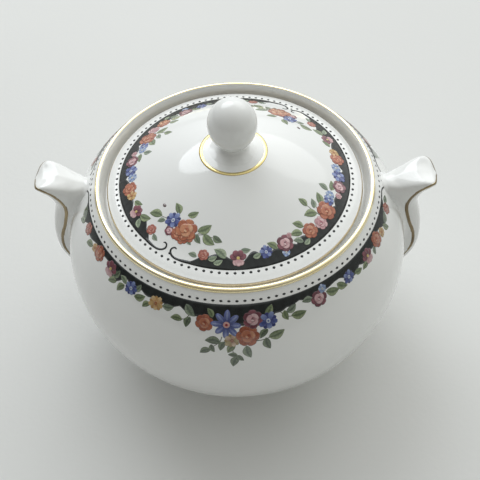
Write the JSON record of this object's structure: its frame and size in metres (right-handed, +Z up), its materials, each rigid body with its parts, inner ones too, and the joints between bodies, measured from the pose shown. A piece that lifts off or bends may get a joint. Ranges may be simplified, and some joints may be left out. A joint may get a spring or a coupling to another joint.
{
  "type": "covered sugar bowl",
  "caption": "Round-bellied bone china sugar bowl with a foot ring, ear-shaped thumb lugs and a domed lid with a ball knob that lifts out of a recessed rim.",
  "frame": {"origin": "centre of the foot ring's underside", "axes": "+Z up along the bowl's turning axis, +X through the two lugs"},
  "size_m": [0.1238, 0.111, 0.0997],
  "materials": {
    "china": "gloss",
    "bare_china": "matte",
    "gilding": "gloss",
    "dark_enamel": "gloss",
    "leaf_enamel": "gloss",
    "orange_enamel": "gloss",
    "blue_enamel": "gloss",
    "plum_enamel": "gloss",
    "pink_enamel": "gloss",
    "yellow_enamel": "gloss"
  },
  "bodies": {
    "bowl": {"bowl_body": "china", "handle_left": "china", "handle_right": "china"},
    "cover": {"lid": "china", "knob": "china"}
  },
  "joints": [
    {"name": "lid_lift", "type": "slide", "parent": "bowl", "child": "cover", "axis": [0, 0, 1], "range_m": [0, 0.045]}
  ]
}
